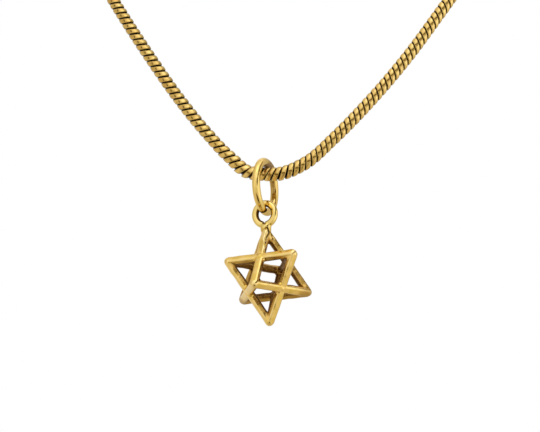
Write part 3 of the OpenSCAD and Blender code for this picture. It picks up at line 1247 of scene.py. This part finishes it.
bail_spine = [bail_point(2 * math.pi * k / BAIL_STEPS) for k in range(BAIL_STEPS)]
bail = new_object("bail_ring_wire", tube_mesh("bail_ring_wire", bail_spine, bail_wire, 32, closed=True))
print("bail:", round(2 * (BAIL_RADIUS + BAIL_WIRE_RADIUS), 2), "mm across outside")

# %% [markdown]
# Its painted shade lies inside the ring, more towards the top, where the chain hides it,
# and all round the wire at the rear of the top, where it is thick and dull. So
# `hollow` is worked out from where each point is and how far it looks inwards.

# %% Bail patina
def limited(value, most=1.0):
    return min(most, max(0.0, value))


# Painted shade: darker inside the ring, most under the chain, and round the rear of its top.
def bail_painted_shade(vertex):
    inwards = vertex.normal.dot((bail_centre - vertex.co).normalized())
    height = (vertex.co.z - bail_centre.z) / BAIL_RADIUS
    rearwards = vertex.co.y - bail_centre.y
    rear_top = limited(3 * (height - 0.5)) * limited(0.6 + 0.3 * rearwards)
    return max(0.0, inwards) * (0.62 + 0.38 * height) + rear_top * limited(1.4 + inwards, 1.2)


hollow_and_shade_values = [bail_painted_shade(vertex) for vertex in bail.data.vertices]
bail.data.attributes.new("hollow", "FLOAT", "POINT").data.foreach_set("value", hollow_and_shade_values)
bail.data.materials.append(wire_gold)
bail.data.shade_smooth()
bail.data.transform(Matrix.Scale(MM, 4))
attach(bail, "bail")
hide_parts("bail_ring")
print("bail:", len(bail.data.polygons), "faces")

# %% [markdown]
# ## The clasp
# The clasp at the nape isn't in the photograph, so it is a plain screw barrel. It is
# turned on a lathe in real life, and so it is here: an outline spun round the axis,
# with rounded shoulders and a fine groove where its halves meet. The sockets at its
# ends take the chain.
#
# A point of the outline holds its place from the middle towards one mouth, its radius,
# both in millimetres, and its `hollow` for the finish. The other half mirrors it.

# %% Clasp mesh
CLASP_SIDES = 64
HALF_OUTLINE = [
    # the groove in the middle
    (0.0, 2.1, 1.0), (0.1, 2.1, 1.0), (0.16, 2.22, 0.4), (0.3, 2.29, 0.1),
    # the barrel and its shoulder
    (1.9, 2.29, 0.0), (3.2, 2.29, 0.0), (3.5, 2.27, 0.0), (3.8, 2.2, 0.1), (4.5, 2.02, 0.1),
    # the collar at the mouth
    (4.9, 1.9, 0.6), (5.0, 1.86, 0.9), (5.1, 1.89, 0.5), (5.3, 1.9, 0.0), (5.8, 1.9, 0.0),
    (5.94, 1.86, 0.0), (6.0, 1.78, 0.0),
    # the socket, down to its floor
    (6.0, 1.44, 0.2), (5.9, 1.32, 0.6), (5.0, 1.3, 1.0), (2.0, 1.3, 1.0), (2.0, 0.0, 1.0),
]


def clasp_mesh():
    outline = [(-x, r, h) for x, r, h in HALF_OUTLINE[:0:-1]] + HALF_OUTLINE
    points, hollow_and_shade_values, faces = [], [], []
    for x, r, hollow in outline:
        for k in range(CLASP_SIDES):
            a = 2 * math.pi * k / CLASP_SIDES
            points.append(Vector((x, r * math.cos(a), r * math.sin(a))) * MM)
            hollow_and_shade_values.append(hollow)
    for i in range(len(outline) - 1):
        for k in range(CLASP_SIDES):
            n = (k + 1) % CLASP_SIDES
            faces.append(tuple(j * CLASP_SIDES + m for j, m in ((i, k), (i, n), (i + 1, n), (i + 1, k))))
    mesh = bpy.data.meshes.new("barrel_clasp")
    mesh.from_pydata(points, [], faces)
    mesh.attributes.new("hollow", "FLOAT", "POINT").data.foreach_set("value", hollow_and_shade_values)
    return mesh


clasp = new_object("barrel_clasp", clasp_mesh())
weld = clasp.modifiers.new("weld", "WELD")
weld.merge_threshold = 0.001 * MM
settle(clasp)
clasp.data.materials.append(wire_gold)
clasp.data.shade_smooth()
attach(clasp, "chain")
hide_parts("clasp")
print("clasp:", len(clasp.data.polygons), "faces")

# %% [markdown]
# ## Floor, backdrop and light
# The necklace hangs, so the pale floor lies well below it, and it is left out of the
# gold's reflections.

# %% Floor
FLOOR_Z = -0.42
FLOOR_HALF = 4.0
FLOOR_PALE = (0.86, 0.86, 0.85, 1)
floor_mesh = bpy.data.meshes.new("floor")
floor_corners = [(x * FLOOR_HALF, y * FLOOR_HALF, FLOOR_Z) for x, y in ((-1, -1), (1, -1), (1, 1), (-1, 1))]
floor_mesh.from_pydata(floor_corners, [], [(0, 1, 2, 3)])
floor = new_object("floor", floor_mesh)
floor_paper, t = empty_material("floor_paper")
shader = add(t, "ShaderNodeBsdfPrincipled", Base_Color=FLOOR_PALE, Roughness=0.9)
end = t.nodes.new("ShaderNodeOutputMaterial")
t.links.new(shader.outputs[0], end.inputs["Surface"])
floor.data.materials.append(floor_paper)
floor.visible_glossy = False
print("floor", round(star_low.z - FLOOR_Z / MM), "mm below the star")

# %% [markdown]
# Metal shows only what it reflects, so what the gold sees is kept apart from what the
# camera sees. The camera sees white paper. The gold sees a light tent, which a sphere
# of lamps and cards could also make, but the world's nodes are lighter: dim below and
# bright above, with a white card low on the right and one high in front, and dimmer
# behind.

# %% Light tent
ROOM_BELOW = 0.56
ROOM_LOW = 0.75
ROOM_LEVEL = 0.92
ROOM_ABOVE = 0.86
RIGHT_CARD = 0.22
TOP_CARD = 0.4
DIM_BEHIND = 0.35
world = bpy.data.worlds.new("studio")
bpy.context.scene.world = world
world.use_nodes = True
t = world.node_tree
t.nodes.clear()
direction = add(t, "ShaderNodeTexCoord").outputs["Generated"]


def patch(azimuth, elevation, half_width, soft):
    """1 inside a round patch of the tent, 0 outside it. Angles are in degrees."""
    a, e = math.radians(azimuth), math.radians(elevation)
    middle = (math.sin(a) * math.cos(e), -math.cos(a) * math.cos(e), math.sin(e))
    near = vector_calc(t, "DOT_PRODUCT", direction, middle)
    return between(t, near, math.cos(math.radians(half_width + soft)), math.cos(math.radians(half_width)))


up = add(t, "ShaderNodeSeparateXYZ", Vector=direction).outputs["Z"]
tent = between(t, up, -1.0, -0.6, ROOM_BELOW, ROOM_LOW)
tent = calc(t, "ADD", tent, between(t, up, -0.6, 0.0, 0.0, ROOM_LEVEL - ROOM_LOW))
tent = calc(t, "ADD", tent, between(t, up, 0.1, 0.8, 0.0, ROOM_ABOVE - ROOM_LEVEL))
right_card = patch(azimuth=82, elevation=-12, half_width=10, soft=35)
top_card = patch(azimuth=45, elevation=58, half_width=20, soft=45)
rear = patch(azimuth=180, elevation=5, half_width=20, soft=35)
tent = calc(t, "MULTIPLY_ADD", right_card, RIGHT_CARD, tent)
tent = calc(t, "MULTIPLY_ADD", top_card, TOP_CARD, tent)
tent = times(t, tent, from_to(t, rear, 1.0, 1.0 - DIM_BEHIND))

# %% [markdown]
# Dark gaps in the tent draw the short dark streaks on the polished wire and the dark
# sides of the bars. Each row is one gap: the azimuth and elevation of its middle, half
# its width and its soft edge, all in degrees, and how dark it is.

# %% Dark gaps
GAP_DARKNESS = 0.9
GAPS = [
    # an arc that rises from the front to the right
    (48, 8, 11, 5, 1.0), (59, 13, 8, 6, 1.0), (66, 23, 7, 6, 0.9), (84, 32, 7, 7, 1.0),
    (102, 39, 8, 7, 1.0), (125, 38, 6, 10, 0.7),
    # an arc below the lens
    (22, -20, 2, 5, 0.35), (-3, -44, 6, 7, 0.8), (15, -56, 11, 7, 1.0), (36, -62, 10, 7, 0.9),
    # two wide and faint ones on the left
    (-93, 72, 20, 30, 0.2), (-85, 12, 15, 25, 0.3),
]
gaps = 0.0
for azimuth, elevation, half_width, soft, depth in GAPS:
    gaps = calc(t, "MAXIMUM", gaps, times(t, patch(azimuth, elevation, half_width, soft), depth))
room = times(t, tent, from_to(t, gaps, 1.0, 1.0 - GAP_DARKNESS))
print("light tent with", len(GAPS), "dark gaps")

# %% [markdown]
# Where the tent is dim it is also warm, as a room is, so each colour channel has its
# own power. Only rays that a gloss has reflected see it.

# %% World
tinted = add(
    t, "ShaderNodeCombineColor", Red=calc(t, "POWER", room, 0.95), Green=calc(t, "POWER", room, 1.12),
    Blue=calc(t, "POWER", room, 1.6),
).outputs[0]
reflected = add(t, "ShaderNodeLightPath").outputs["Is Glossy Ray"]
seen = blend(t, reflected, (1.0, 1.0, 1.0), tinted)
paper_white = add(t, "ShaderNodeBackground", Color=seen, Strength=1.0)
end = t.nodes.new("ShaderNodeOutputWorld")
t.links.new(paper_white.outputs[0], end.inputs["Surface"])
print("world:", len(t.nodes), "nodes")

# %% [markdown]
# Four soft lamps add what a tent alone can't: a highlight that runs along a wire, and
# light from the side that reaches the sides of the bars. They give no more light than
# the tent does, so the paper stays white.

# %% Lamps
LAMP_COLOUR = (0.95, 1.0, 1.05)


def lamp(name, azimuth, elevation, distance, width, height, radiance):
    """A soft panel that faces the star, as bright as radiance says."""
    data = bpy.data.lights.new(name, "AREA")
    data.shape = "RECTANGLE"
    data.size, data.size_y = width, height
    data.color = LAMP_COLOUR
    data.energy = radiance * math.pi * width * height
    a, e = math.radians(azimuth), math.radians(elevation)
    away = Vector((math.sin(a) * math.cos(e), -math.cos(a) * math.cos(e), math.sin(e)))
    panel = bpy.data.objects.new(name, data)
    bpy.context.scene.collection.objects.link(panel)
    panel.location = star_centre * MM + away * distance
    panel.rotation_euler = away.to_track_quat("Z", "Y").to_euler()
    panel.visible_camera = False


lamp("key_lamp", azimuth=30, elevation=62, distance=0.9, width=0.5, height=0.5, radiance=0.45)
lamp("left_lamp", azimuth=-30, elevation=5, distance=1.1, width=0.3, height=0.5, radiance=0.15)
lamp("right_lamp", azimuth=90, elevation=-19, distance=1.0, width=0.4, height=0.4, radiance=0.3)
lamp("back_lamp", azimuth=200, elevation=50, distance=1.0, width=0.6, height=0.5, radiance=0.3)

bpy.context.scene.view_settings.view_transform = "Standard"
print("lamps and world set")
